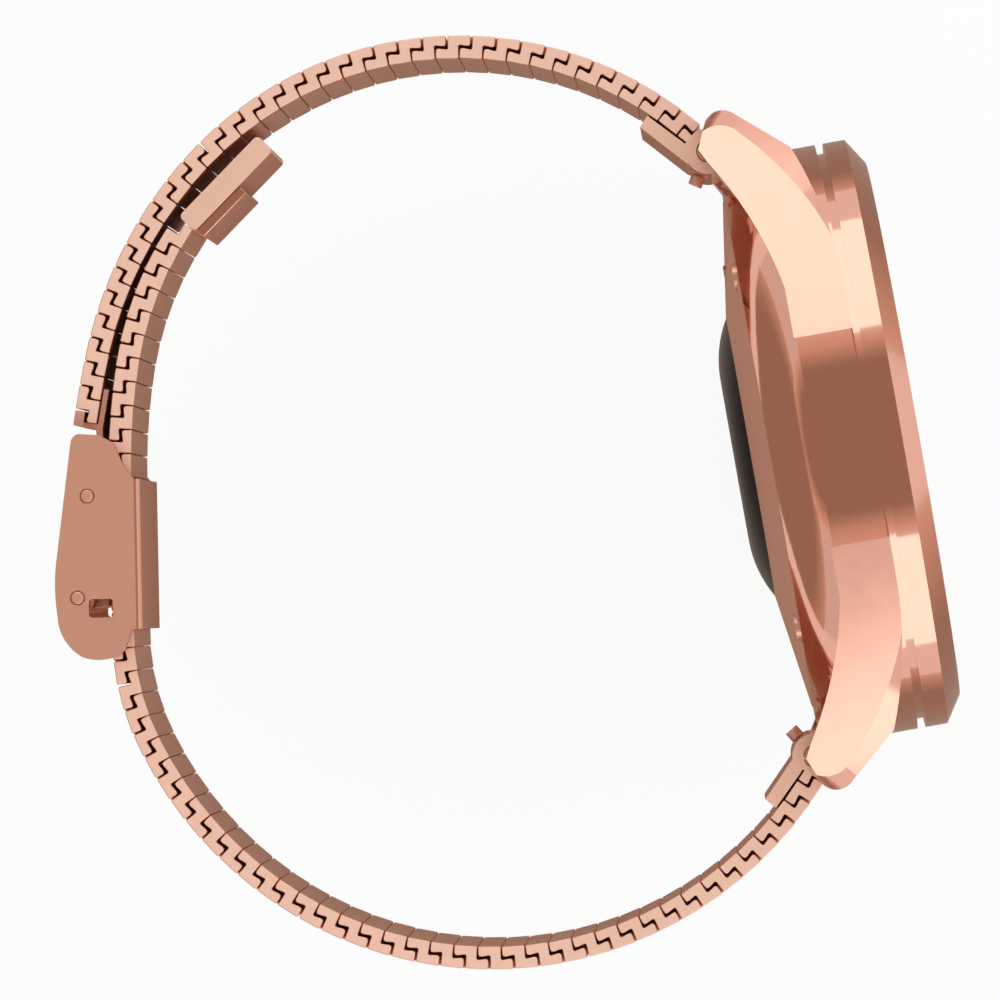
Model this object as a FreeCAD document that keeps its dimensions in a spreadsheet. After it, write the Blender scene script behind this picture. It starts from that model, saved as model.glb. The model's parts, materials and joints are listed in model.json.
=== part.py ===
"""Hybrid smartwatch with a sliding-clasp mesh band, lying on its side.

Frame, in millimetres: the origin is the centre of the sensor's flat outer face, on the axis of the hands.
+X is the way the dial faces, +Y is 12 o'clock, and +Z is 9 o'clock, which is up as the watch lies.
Every size is a cell of the spreadsheet, and every piece is an object of the document that reads it.
"""
import FreeCAD, Part
import Sketcher
import math
import os

from FreeCAD import Vector

doc = FreeCAD.newDocument("smartwatch")
sheet = doc.addObject("Spreadsheet::Sheet", "sizes")
pieces = {}


# ---------------------------------------------------------------- sizes that know their own formula

class Term:
    """A size as a number, together with the formula that the document keeps for it."""

    def __init__(self, value, formula):
        self.value = value
        self.formula = formula

    def __add__(self, other):
        other = term(other)
        return Term(self.value + other.value, f"({self.formula} + {other.formula})")

    def __sub__(self, other):
        other = term(other)
        return Term(self.value - other.value, f"({self.formula} - {other.formula})")

    def __mul__(self, other):
        other = term(other)
        return Term(self.value * other.value, f"({self.formula} * {other.formula})")

    def __truediv__(self, other):
        other = term(other)
        return Term(self.value / other.value, f"({self.formula} / {other.formula})")

    def __neg__(self):
        return Term(-self.value, f"(0 - {self.formula})")

    def __radd__(self, other):
        return term(other) + self

    def __rsub__(self, other):
        return term(other) - self

    def __rmul__(self, other):
        return term(other) * self


def term(value):
    """Wrap a plain number, so that numbers and sizes mix in one formula."""
    if isinstance(value, Term):
        return value
    return Term(float(value), f"({float(value):.6f})")


def size(alias, value, meaning):
    """Write one driving size into the next row of the sheet and return it."""
    size.row += 1
    sheet.set(f"A{size.row}", meaning)
    sheet.set(f"B{size.row}", str(value))
    sheet.setAlias(f"B{size.row}", alias)
    return Term(float(value), f"sizes.{alias}")


size.row = 0

# case
case_radius = size("case_radius", 21.0, "outer radius of the middle case and the bezel")
sensor_rise = size("sensor_rise", 1.15, "height of the sensor window over the case back")
wall_back = size("wall_back", 5.6, "where the straight side wall starts")
wall_length = size("wall_length", 3.85, "length of the straight side wall")
neck_length = size("neck_length", 0.6, "length of the groove under the bezel")
neck_depth = size("neck_depth", 0.7, "depth of the groove under the bezel")
bezel_height = size("bezel_height", 2.75, "height of the bezel")
bezel_slope_height = size("bezel_slope_height", 1.2, "height of the bezel's polished slope")
bezel_slope_width = size("bezel_slope_width", 1.85, "width of the bezel's polished slope")
back_rim = size("back_rim", 2.45, "where the middle case ends at the back")
case_wall = size("case_wall", 2.4, "radial thickness of the case wall round the movement")
seat_depth = size("seat_depth", 1.15, "depth of the recess that takes the case back")
ledge_length = size("ledge_length", 1.3, "thickness of the ledge that takes the screws")
ledge_reach = size("ledge_reach", 3.7, "how far the ledge reaches in from the bore")
fit_gap = size("fit_gap", 0.05, "clearance of pieces that slip together")
# lugs
lug_gap = size("lug_gap", 20.1, "width between the lugs")
lug_length = size("lug_length", 3.2, "how far the lug tips stand beyond the case wall")
lug_tip_half_width = size("lug_tip_half_width", 13.4, "half width over the lugs at their tips")
bar_drop = size("bar_drop", 1.9, "spring bar axis over the sensor face")
bar_stand = size("bar_stand", 0.5, "spring bar axis beyond the case wall")
# glass and dial
crystal_radius = size("crystal_radius", 17.55, "radius of the glass")
crystal_thickness = size("crystal_thickness", 1.27, "thickness of the glass")
crystal_inset = size("crystal_inset", 0.18, "how far the glass lies under the bezel's face")
gasket_width = size("gasket_width", 0.3, "width of the ring between glass and bezel")
glass_ledge = size("glass_ledge", 0.65, "width of the ledge under the glass")
dial_radius = size("dial_radius", 17.6, "radius of the dial")
dial_thickness = size("dial_thickness", 0.4, "thickness of the dial")
hand_space = size("hand_space", 0.85, "room between dial and glass")
# movement
board_thickness = size("board_thickness", 0.8, "thickness of the main board")
frame_height = size("frame_height", 2.8, "height of the movement frame")
battery_thickness = size("battery_thickness", 2.6, "thickness of the battery")
battery_radius = size("battery_radius", 10.5, "radius of the battery")
sensor_radius = size("sensor_radius", 10.0, "radius of the sensor window")
arbor_radius = size("arbor_radius", 0.45, "radius of the minute arbor")
# band
band_width = size("band_width", 19.6, "width of the mesh")
band_thickness = size("band_thickness", 1.6, "thickness of the mesh")
link_pitch = size("link_pitch", 1.7, "length of one row of links")
link_slit = size("link_slit", 0.14, "gap between rows at the two faces")
link_bevel = size("link_bevel", 0.2, "bevel on the free corners of a link")
link_core_gap = size("link_core_gap", 0.26, "gap between the halves of nested links")
bar_bite = size("bar_bite", 1.4, "how far the spring bar tips reach into the lugs")
bar_radius = size("bar_radius", 0.75, "radius of the spring bar tube")
tip_radius = size("tip_radius", 0.4, "radius of the spring bar tips")
barrel_radius = size("barrel_radius", 1.6, "radius of the end link's barrel")
clamp_thickness = size("clamp_thickness", 0.95, "thickness of the end link's clamp plate")
clamp_length = size("clamp_length", 3.4, "length of the clamp plate along the mesh")
# clasp
clasp_length = size("clasp_length", 10.5, "length of the clasp's inner plate")
clasp_sheet = size("clasp_sheet", 0.4, "thickness of the clasp's inner plate")
cheek_thickness = size("cheek_thickness", 1.1, "thickness of the clasp's cheeks")
side_play = size("side_play", 0.3, "room between the mesh and each cheek")
clasp_play = size("clasp_play", 0.2, "room between the mesh and the clasp's inner plate")
pin_radius = size("pin_radius", 0.44, "radius of the clasp pins")
lid_thickness = size("lid_thickness", 0.7, "thickness of the lid")
tongue_thickness = size("tongue_thickness", 0.35, "thickness of the hook tongue")
stop_length = size("stop_length", 7.9, "length of the end stop along the band")
stop_thickness = size("stop_thickness", 1.55, "thickness of the end stop")
stop_plate_length = size("stop_plate_length", 4.3, "length of the plate on the end stop")
stop_plate_thickness = size("stop_plate_thickness", 0.7, "thickness of the plate on the end stop")
doc.recompute()

# places along the band's direction, from the hand axis
lug_reach = case_radius + lug_length
bar_reach = case_radius + bar_stand

# stations along the hand axis that several pieces share
wall_front = wall_back + wall_length
bezel_back = wall_front + neck_length
bezel_front = bezel_back + bezel_height
case_bore = case_radius - case_wall
back_seat = back_rim + seat_depth
back_radius = case_bore + 0.1
skirt_back = bezel_back - 1.0
skirt_radius = case_radius - neck_depth - 1.0
crystal_top = bezel_front - crystal_inset
crystal_back = crystal_top - crystal_thickness
dial_top = crystal_back - hand_space
dial_back = dial_top - dial_thickness
frame_back = dial_back - frame_height
board_back = frame_back - board_thickness
battery_back = board_back - battery_thickness
window_seat = sensor_rise + 0.8
back_inside = sensor_rise + 1.6
ledge_bore = case_bore - ledge_reach
inner_hub = arbor_radius + fit_gap
tube_radius = inner_hub + 0.35


# ---------------------------------------------------------------- building helpers

def bind(thing, path, value):
    """Set a property from a size, keeping the formula in the document."""
    value = term(value)
    thing.setExpression(path, value.formula)


def corner(x, y, bulge=None):
    """An outline point; with a bulge radius, the edge that leaves it is an arc (negative turns clockwise)."""
    return (term(x), term(y), None if bulge is None else term(bulge))


def arc_between(start, end, radius):
    """The short arc from start to end, anticlockwise for a positive radius, as a sketch circle arc."""
    reach = abs(radius)
    chord = end - start
    half = chord.Length / 2
    rise = math.sqrt(max(reach * reach - half * half, 0.0))
    normal = Vector(-chord.y, chord.x, 0).normalize()
    centre = (start + end) * 0.5 + normal * (rise if radius > 0 else -rise)
    first, last = (start, end) if radius > 0 else (end, start)
    angle_first = math.atan2(first.y - centre.y, first.x - centre.x)
    angle_last = math.atan2(last.y - centre.y, last.x - centre.x)
    if angle_last < angle_first:
        angle_last += 2 * math.pi
    circle = Part.Circle(centre, Vector(0, 0, 1), reach)
    return Part.ArcOfCircle(circle, angle_first, angle_last)


def draw_outline(sketch, corners):
    """Draw a closed outline whose every corner and radius is bound to the sheet."""
    spots = [Vector(x.value, y.value, 0) for x, y, _ in corners]
    first_edge = sketch.GeometryCount
    ends = []
    for i, (_, _, bulge) in enumerate(corners):
        start = spots[i]
        end = spots[(i + 1) % len(spots)]
        if bulge is None:
            sketch.addGeometry(Part.LineSegment(start, end), False)
            ends.append((1, 2))
        else:
            sketch.addGeometry(arc_between(start, end, bulge.value), False)
            ends.append((1, 2) if bulge.value > 0 else (2, 1))
            number = sketch.addConstraint(Sketcher.Constraint("Radius", first_edge + i, abs(bulge.value)))
            radius = bulge if bulge.value > 0 else -bulge
            sketch.setExpression(f"Constraints[{number}]", radius.formula)
    for i, (x, y, _) in enumerate(corners):
        edge = first_edge + i
        before = first_edge + (i - 1) % len(corners)
        sketch.addConstraint(Sketcher.Constraint("Coincident", before, ends[i - 1][1], edge, ends[i][0]))
        number = sketch.addConstraint(Sketcher.Constraint("DistanceX", edge, ends[i][0], x.value))
        sketch.setExpression(f"Constraints[{number}]", x.formula)
        number = sketch.addConstraint(Sketcher.Constraint("DistanceY", edge, ends[i][0], y.value))
        sketch.setExpression(f"Constraints[{number}]", y.formula)


def draw_circle(sketch, x, y, radius):
    """Draw a circle bound to the sheet."""
    x, y, radius = term(x), term(y), term(radius)
    circle = Part.Circle(Vector(x.value, y.value, 0), Vector(0, 0, 1), radius.value)
    edge = sketch.addGeometry(circle, False)
    for kind, value in (("DistanceX", x), ("DistanceY", y)):
        number = sketch.addConstraint(Sketcher.Constraint(kind, edge, 3, value.value))
        sketch.setExpression(f"Constraints[{number}]", value.formula)
    number = sketch.addConstraint(Sketcher.Constraint("Radius", edge, radius.value))
    sketch.setExpression(f"Constraints[{number}]", radius.formula)


def new_sketch(body, name, plane, level=0.0):
    """A sketch on one of the body's own origin planes, lifted off it by a level."""
    sketch = body.newObject("Sketcher::SketchObject", name)
    for feature in body.Origin.OriginFeatures:
        if feature.Role == plane:
            sketch.AttachmentSupport = [(feature, "")]
    sketch.MapMode = "FlatFace"
    bind(sketch, ".AttachmentOffset.Base.z", level)
    return sketch


def new_body(label):
    """A body with its own label."""
    body = doc.addObject("PartDesign::Body", label)
    body.Label = label
    return body


def turned(label, corners):
    """A ring or disc turned about the hand axis from an outline of (station, radius) corners."""
    body = new_body(label)
    sketch = new_sketch(body, f"{label}_profile", "XY_Plane")
    draw_outline(sketch, corners)
    turn = body.newObject("PartDesign::Revolution", f"{label}_turn")
    turn.Profile = sketch
    turn.ReferenceAxis = (sketch, ["H_Axis"])
    turn.Angle = 360
    return body


def pad(body, name, plane, level, length, outlines=(), circles=()):
    """Pad outlines and circles from a level of one of the body's planes."""
    sketch = new_sketch(body, f"{name}_sketch", plane, level)
    for corners in outlines:
        draw_outline(sketch, corners)
    for x, y, radius in circles:
        draw_circle(sketch, x, y, radius)
    feature = body.newObject("PartDesign::Pad", name)
    feature.Profile = sketch
    bind(feature, "Length", length)
    return feature


def pocket(body, name, plane, level, length, outlines=(), circles=(), reverse=False):
    """Cut outlines and circles out of the body, from a level and along the plane's normal if reversed."""
    sketch = new_sketch(body, f"{name}_sketch", plane, level)
    for corners in outlines:
        draw_outline(sketch, corners)
    for x, y, radius in circles:
        draw_circle(sketch, x, y, radius)
    feature = body.newObject("PartDesign::Pocket", name)
    feature.Profile = sketch
    bind(feature, "Length", length)
    feature.Reversed = reverse
    return feature


def rectangle(x0, x1, y0, y1):
    """The four corners of a rectangle."""
    return [corner(x0, y0), corner(x1, y0), corner(x1, y1), corner(x0, y1)]


def rounded_rectangle(x0, x1, y0, y1, radius):
    """The corners of a rectangle with rounded corners, anticlockwise."""
    return [corner(x0 + radius, y0), corner(x1 - radius, y0, radius), corner(x1, y0 + radius),
            corner(x1, y1 - radius, radius), corner(x1 - radius, y1), corner(x0 + radius, y1, radius),
            corner(x0, y1 - radius), corner(x0, y0 + radius, radius)]


def finished(node, thing):
    """Give a finished piece its label and note it for writing."""
    thing.Label = node
    pieces[node] = thing
    return thing


def boolean(kind, name, base, tool):
    """A Part boolean of two objects."""
    feature = doc.addObject(f"Part::{kind}", name)
    feature.Base = base
    feature.Tool = tool
    return feature


def rod(name, radius, start, end, x, y):
    """A round bar along Z between two levels."""
    bar = doc.addObject("Part::Cylinder", name)
    bind(bar, "Radius", radius)
    bind(bar, "Height", end - term(start))
    bind(bar, ".Placement.Base.x", x)
    bind(bar, ".Placement.Base.y", y)
    bind(bar, ".Placement.Base.z", start)
    return bar


def drawn_by_code(node, shape, placement=FreeCAD.Placement()):
    """A piece whose shape follows the band's curve and is worked out from the sheet's sizes."""
    feature = doc.addObject("Part::Feature", node)
    feature.Shape = shape
    feature.Placement = placement
    return finished(node, feature)


# ---------------------------------------------------------------- case

# seen from the front, each lug's flank leaves the case wall as a tangent and runs to the tip
tip_distance = math.hypot(lug_reach.value, lug_tip_half_width.value)
tip_angle = math.atan2(lug_tip_half_width.value, lug_reach.value)
touch_angle = tip_angle + math.acos(case_radius.value / tip_distance)
touch_y = case_radius * math.cos(touch_angle)
touch_z = case_radius * math.sin(touch_angle)


def flank_height(y):
    """How far the flat flank stands from the middle plane, at a distance from the hand axis."""
    slope = (lug_tip_half_width.value - touch_z.value) / (lug_reach.value - touch_y.value)
    return touch_z.value + (y - touch_y.value) * slope


def lug_bevel_cutter(number, end, side):
    """The wedge that bevels one lug along its front edge and round its tip, widening from the case wall."""
    front = wall_front.value
    tip = lug_reach.value
    drop = bar_drop.value
    along = [(front + 0.3, tip - 11.9), (front - 1.57, tip - 7.0), (drop + 2.0, tip - 1.65)]
    round_tip = [along[-1], (drop + 1.0, tip - 1.25), (drop - 1.0, tip - 2.45)]
    clear = 4.0
    outside = [round_tip[-1], (drop - 2.5, tip + clear), (front + clear, tip + clear),
               (front + clear, along[0][1]), along[0]]
    lines = []
    for line in (along, round_tip, outside):
        lines.append([Vector(x, y * end, flank_height(y) * side) for x, y in line])
    edges = [Part.Arc(*lines[0]).toShape(), Part.Arc(*lines[1]).toShape()]
    edges += [Part.makeLine(start, stop) for start, stop in zip(lines[2], lines[2][1:])]
    region = Part.Face(Part.Wire(edges))
    cutter = doc.addObject("Part::Feature", f"lug_bevel_{number}")
    cutter.Shape = region.extrude(Vector(bevel_run_x, bevel_run_y * end, -side) * bevel_depth)
    return cutter


bevel_run_x = 0.64
bevel_run_y = 0.77
bevel_depth = 5.0


def make_mid_case():
    """The ring with four lugs: turned ring, lugs where two outlines cross, bored for the movement."""
    ring = turned("case_ring", [
        corner(back_rim, back_radius + 0.05), corner(back_rim, back_radius + 0.6, -5.2),
        corner(wall_back, case_radius), corner(wall_front, case_radius),
        corner(wall_front, case_radius - neck_depth), corner(bezel_back, case_radius - neck_depth),
        corner(bezel_back, skirt_radius + fit_gap), corner(skirt_back, skirt_radius + fit_gap),
        corner(skirt_back, case_bore), corner(back_seat + ledge_length, case_bore),
        corner(back_seat + ledge_length, ledge_bore), corner(back_seat, ledge_bore),
        corner(back_seat, back_radius + 0.05)])

    side = new_body("lug_side_view")
    pad(side, "lug_side_pad", "XY_Plane", -case_radius, 2 * case_radius, [lug_outline(1)])
    mirrored_side = new_body("lug_side_view_low")
    pad(mirrored_side, "lug_side_low_pad", "XY_Plane", -case_radius, 2 * case_radius, [lug_outline(-1)])
    both_sides = boolean("Fuse", "lug_side_views", side, mirrored_side)

    front = new_body("lug_front_view")
    pad(front, "lug_front_pad", "YZ_Plane", 0, bezel_front, [[
        corner(lug_reach, lug_tip_half_width), corner(touch_y, touch_z),
        corner(-touch_y, touch_z), corner(-lug_reach, lug_tip_half_width),
        corner(-lug_reach, lug_gap / 2), corner(lug_reach, lug_gap / 2)]])
    far_front = new_body("lug_front_view_far")
    pad(far_front, "lug_front_far_pad", "YZ_Plane", 0, bezel_front, [[
        corner(lug_reach, -lug_tip_half_width), corner(lug_reach, -(lug_gap / 2)),
        corner(-lug_reach, -(lug_gap / 2)), corner(-lug_reach, -lug_tip_half_width),
        corner(-touch_y, -touch_z), corner(touch_y, -touch_z)]])
    both_fronts = boolean("Fuse", "lug_front_views", front, far_front)
    lugs = boolean("Common", "lugs", both_sides, both_fronts)
    for number, (end, side) in enumerate(((1, 1), (1, -1), (-1, 1), (-1, -1))):
        lugs = boolean("Cut", f"lugs_bevelled_{number}", lugs, lug_bevel_cutter(number, end, side))

    bore = turned("lug_bore", [corner(0, 0), corner(0, case_radius - 1.0),
                               corner(bezel_front, case_radius - 1.0), corner(bezel_front, 0)])
    trimmed = boolean("Cut", "lugs_trimmed", lugs, bore)
    whole = boolean("Fuse", "case_with_lugs", ring, trimmed)
    holes = []
    for side_name, direction in (("upper", 1), ("lower", -1)):
        holes.append(rod(f"{side_name}_bar_hole", tip_radius + fit_gap, -(lug_gap / 2) - bar_bite - 0.2,
                         lug_gap / 2 + bar_bite + 0.2, bar_drop, bar_reach * direction))
    for number, (y, z) in enumerate(screw_spots()):
        thread_radius = screw_radius + 0.02
        holes.append(axial_rod(f"screw_thread_{number}", thread_radius, back_rim, back_seat + 1.2, y, z))
    for number, hole in enumerate(holes):
        whole = boolean("Cut", f"case_drilled_{number}", whole, hole)
    finished("mid_case", whole)


def lug_outline(direction):
    """The lugs of one end seen from the side, from the case ring to the spring bar end."""
    points = [
        (wall_front + 0.1, 0.0, None), (wall_front + 0.1, 10.2, 29.0),
        (wall_front - 1.85, lug_reach - 3.6, None), (bar_drop + 2.3, lug_reach - 0.65, 1.35),
        (bar_drop + 0.15, lug_reach - 0.75, None), (bar_drop - 0.65, lug_reach - 2.7, None),
        (bar_drop - 0.15, lug_reach - 3.7, -27.0), (wall_back - 0.15, 10.9, None),
        (wall_back - 0.15, 0.0, None)]
    corners = []
    for x, y, bulge in points:
        bulge = None if bulge is None else bulge * direction
        corners.append(corner(x, term(y) * direction, bulge))
    return corners


screw_radius = term(0.5)
screw_ring = back_radius - 1.15


def screw_spots():
    """The four screws of the case back, on the diagonals."""
    diagonal = screw_ring * math.sqrt(0.5)
    return [(diagonal, diagonal), (-diagonal, diagonal), (-diagonal, -diagonal), (diagonal, -diagonal)]


def axial_rod(name, radius, start, end, y, z):
    """A round bar along the hand axis between two stations."""
    bar = doc.addObject("Part::Cylinder", name)
    bind(bar, "Radius", radius)
    bind(bar, "Height", term(end) - start)
    bar.Placement = FreeCAD.Placement(Vector(0, 0, 0), FreeCAD.Rotation(Vector(0, 1, 0), 90))
    bind(bar, ".Placement.Base.x", start)
    bind(bar, ".Placement.Base.y", y)
    bind(bar, ".Placement.Base.z", z)
    return bar


def make_bezel():
    """The polished ring that holds the glass and presses into the middle case."""
    finished("bezel", turned("bezel", [
        corner(bezel_back, case_radius), corner(bezel_front - bezel_slope_height, case_radius),
        corner(bezel_front, case_radius - bezel_slope_width),
        corner(bezel_front, crystal_radius + gasket_width + fit_gap),
        corner(crystal_back, crystal_radius + gasket_width + fit_gap),
        corner(crystal_back, crystal_radius - glass_ledge),
        corner(crystal_back - 0.45, crystal_radius - glass_ledge),
        corner(crystal_back - 0.45, skirt_radius - 1.1), corner(skirt_back, skirt_radius - 1.1),
        corner(skirt_back, skirt_radius), corner(bezel_back, skirt_radius)]))


def make_crystal():
    """The glass, with a bevel round its top edge, and the ring that seals it."""
    bevel = 0.3
    finished("crystal", turned("crystal", [
        corner(crystal_back, 0), corner(crystal_back, crystal_radius),
        corner(crystal_top - bevel, crystal_radius), corner(crystal_top, crystal_radius - bevel),
        corner(crystal_top, 0)]))
    finished("crystal_gasket", turned("crystal_gasket", [
        corner(crystal_back, crystal_radius), corner(crystal_back, crystal_radius + gasket_width),
        corner(crystal_top - bevel, crystal_radius + gasket_width),
        corner(crystal_top - bevel, crystal_radius)]))


def make_case_back():
    """The dished cover with its sensor seat, screw holes and contact holes."""
    groove = back_seat - 0.55
    body = turned("case_back", [
        corner(sensor_rise, sensor_radius + fit_gap), corner(back_rim - 0.1, back_radius - 0.6),
        corner(back_rim + 0.15, back_radius),
        corner(back_seat, back_radius), corner(back_seat, ledge_bore + 1.25),
        corner(groove, ledge_bore + 1.25), corner(groove, ledge_bore + 0.4),
        corner(back_seat, ledge_bore + 0.4), corner(back_seat, ledge_bore), corner(back_inside, ledge_bore),
        corner(back_inside, sensor_radius - 1.4), corner(window_seat, sensor_radius - 1.4),
        corner(window_seat, sensor_radius + fit_gap)])
    spots = [(y, z, screw_radius + fit_gap) for y, z in screw_spots()]
    pocket(body, "screw_holes", "YZ_Plane", 0, back_seat + 1, circles=spots, reverse=True)
    heads = [(y, z, screw_radius * 2) for y, z in screw_spots()]
    pocket(body, "screw_head_seats", "YZ_Plane", 0, head_back + head_height, circles=heads, reverse=True)
    contacts = [(y, z, contact_radius + fit_gap) for y, z in contact_spots()]
    pocket(body, "contact_holes", "YZ_Plane", 0, back_seat, circles=contacts, reverse=True)
    finished("case_back", body)
    finished("case_back_gasket", turned("case_back_gasket", [
        corner(groove, ledge_bore + 0.45), corner(groove, ledge_bore + 1.2),
        corner(back_seat, ledge_bore + 1.2), corner(back_seat, ledge_bore + 0.45)]))


head_height = term(0.5)
head_back = back_rim - 0.35
contact_radius = term(0.6)


def contact_spots():
    """Four charging contacts in a row across the case back."""
    return [(13.0, (number - 1.5) * 2.4) for number in range(4)]


def make_screws():
    """Four slotted screws: one shape, set round the case back."""
    radius = screw_radius.value
    head = Part.makeCylinder(radius * 1.9, head_height.value, Vector(head_back.value, 0, 0), Vector(1, 0, 0))
    shank_start = head_back.value + head_height.value
    shank = Part.makeCylinder(radius, back_seat.value + 1.1 - shank_start, Vector(shank_start, 0, 0),
                              Vector(1, 0, 0))
    slot = Part.makeBox(0.22, radius * 4, 0.3, Vector(head_back.value, -radius * 2, -0.15))
    screw = head.fuse(shank).cut(slot)
    solids = []
    for y, z in screw_spots():
        copy = screw.copy()
        copy.translate(Vector(0, y.value, z.value))
        solids.append(copy)
    drawn_by_code("case_back_screws", Part.makeCompound(solids))


def make_contacts():
    """Four contact pins, flush with the case back."""
    solids = []
    for y, z in contact_spots():
        start = Vector(sensor_rise.value + 0.42, y, z)
        length = back_inside.value + 0.3 - start.x
        solids.append(Part.makeCylinder(contact_radius.value, length, start, Vector(1, 0, 0)))
    drawn_by_code("charging_contacts", Part.makeCompound(solids))


def make_sensor():
    """The domed black window and, behind it, the board with its lamps and photodiodes."""
    flat = sensor_radius - 4.2
    finished("sensor_window", turned("sensor_window", [
        corner(0, 0), corner(0, flat, -8.24), corner(sensor_rise, sensor_radius),
        corner(window_seat, sensor_radius), corner(window_seat, 0)]))
    board = new_body("sensor_board")
    pad(board, "sensor_board_disc", "YZ_Plane", back_inside, 0.6, circles=[(0, 0, sensor_radius - 0.6)])
    lamps = [rectangle(-0.9, 0.9, 2.2, 4.0), rectangle(-0.9, 0.9, -4.0, -2.2),
             rectangle(-4.6, -2.4, -1.3, 1.3), rectangle(2.4, 4.6, -1.3, 1.3)]
    pad(board, "sensor_board_lamps", "YZ_Plane", window_seat + 0.1, back_inside - window_seat, lamps)
    finished("sensor_board", board)


# ---------------------------------------------------------------- dial and movement

def make_dial():
    """The dial, its sloped outer ring and the applied hour markers."""
    dial = new_body("dial")
    pad(dial, "dial_disc", "YZ_Plane", dial_back, dial_thickness,
        circles=[(0, 0, dial_radius), (0, 0, tube_radius + 0.3)])
    finished("dial", dial)
    ring_outside = skirt_radius - 1.15
    ring_inside = crystal_radius - glass_ledge
    finished("chapter_ring", turned("chapter_ring", [
        corner(dial_top, ring_inside - 1.2), corner(dial_top, ring_outside),
        corner(crystal_back - 0.5, ring_outside), corner(crystal_back - 0.5, ring_inside - 0.05),
        corner(crystal_back - 0.15, ring_inside - 0.05)]))
    length = 2.4
    inner = dial_radius.value - 2.2 - length
    solids = []
    for hour in range(12):
        width = 0.9 if hour % 3 == 0 else 0.5
        marker = Part.makeBox(0.14, length, width, Vector(dial_top.value, inner, -width / 2))
        marker.rotate(Vector(0, 0, 0), Vector(1, 0, 0), 30 * hour)
        solids.append(marker)
    drawn_by_code("hour_markers", Part.makeCompound(solids))


def make_movement():
    """Frame, boards, battery and motors, stacked from the dial to the case back."""
    web_back = dial_back - 1.35
    web_front = dial_back - 0.85
    rim = 1.8
    body = turned("movement_frame", [
        corner(frame_back, case_bore - 0.1), corner(skirt_back - 0.05, case_bore - 0.1),
        corner(skirt_back - 0.05, skirt_radius - 1.2), corner(dial_back, skirt_radius - 1.2),
        corner(dial_back, skirt_radius - 1.2 - rim), corner(web_front, skirt_radius - 1.2 - rim),
        corner(web_front, 1.4), corner(web_back, 1.4), corner(web_back, skirt_radius - 1.2 - rim),
        corner(frame_back, skirt_radius - 1.2 - rim)])
    finished("movement_frame", body)

    display = new_body("display_module")
    reach = skirt_radius - 1.2 - rim - 0.4
    half = 12.0
    foot = 9.0
    pad(display, "display_pad", "YZ_Plane", web_front, 0.75, [[
        corner(-4.6, half), corner(-foot, half), corner(-reach + 1.5, 6.0, 16.0),
        corner(-reach + 1.5, -6.0), corner(-foot, -half), corner(-4.6, -half)]])
    finished("display_module", display)

    board = new_body("mainboard")
    board_radius = case_bore - 0.4
    pad(board, "mainboard_disc", "YZ_Plane", board_back, board_thickness, circles=[(0, 0, board_radius)])
    chips = [rectangle(6.0, 11.0, 5.0, 10.0), rectangle(-12.0, -7.5, -3.0, 3.0),
             rectangle(8.0, 11.0, -2.0, 2.0)]
    pad(board, "mainboard_chips", "YZ_Plane", board_back + board_thickness, 0.9, chips)
    finished("mainboard", board)

    battery = new_body("battery")
    can = (3.5, 0, battery_radius)
    pad(battery, "battery_can", "YZ_Plane", battery_back, battery_thickness, circles=[can])
    finished("battery", battery)
    buzzer = new_body("vibration_motor")
    pad(buzzer, "vibration_motor_can", "YZ_Plane", battery_back, battery_thickness,
        circles=[(3.5 - battery_radius - 3.9, 0, 3.5)])
    finished("vibration_motor", buzzer)

    motors = []
    for direction in (1, -1):
        motors.append(Part.makeBox(1.35, 8.4, 4.6, Vector(frame_back.value, -4.2, direction * 9.0 - 2.3)))
    drawn_by_code("stepper_motors", Part.makeCompound(motors))


def hand_outline(length, root, tip, tail):
    """A tapering baton from its tail to its point."""
    return [corner(-tail, -(root / 2)), corner(length - 1.2, -(tip / 2)), corner(length, 0),
            corner(length - 1.2, tip / 2), corner(-tail, root / 2)]


def make_hand(node, level, thickness, length, root, tip, tail, hub, hole, turn):
    """One hand: blade, hub and hole, turned to its place on the dial."""
    body = new_body(node)
    outline = hand_outline(term(length), root, tip, term(tail))
    pad(body, f"{node}_blade", "YZ_Plane", level, thickness, [outline])
    pad(body, f"{node}_hub", "YZ_Plane", level, thickness, circles=[(0, 0, hub)])
    pocket(body, f"{node}_hole", "YZ_Plane", 0, bezel_front, circles=[(0, 0, hole)], reverse=True)
    body.Placement = FreeCAD.Placement(Vector(0, 0, 0), FreeCAD.Rotation(Vector(1, 0, 0), turn))
    finished(node, body)


def make_hands():
    """Hands at ten past ten, on the hour wheel's pipe and the minute arbor."""
    make_hand("hour_hand", dial_top + 0.2, 0.14, 8.6, 1.5, 0.9, 2.2, 1.5, tube_radius, 55)
    make_hand("minute_hand", dial_top + 0.46, 0.14, 13.2, 1.3, 0.7, 2.6, 1.2, arbor_radius, -60)
    web_back = dial_back - 1.35
    finished("minute_arbor", turned("minute_arbor", [
        corner(web_back - 0.8, 0), corner(web_back - 0.8, arbor_radius), corner(web_back - 0.1, arbor_radius),
        corner(web_back - 0.1, 1.3), corner(dial_back - 0.75, 1.3), corner(dial_back - 0.75, arbor_radius),
        corner(dial_top + 0.7, arbor_radius), corner(dial_top + 0.7, 0)]))
    wheel = turned("hour_wheel", [
        corner(dial_back - 0.65, inner_hub), corner(dial_back - 0.65, 3.9), corner(dial_back - 0.3, 3.9),
        corner(dial_back - 0.3, tube_radius), corner(dial_top + 0.36, tube_radius),
        corner(dial_top + 0.36, inner_hub)])
    finished("hour_wheel", wheel)


# ---------------------------------------------------------------- band path

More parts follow.
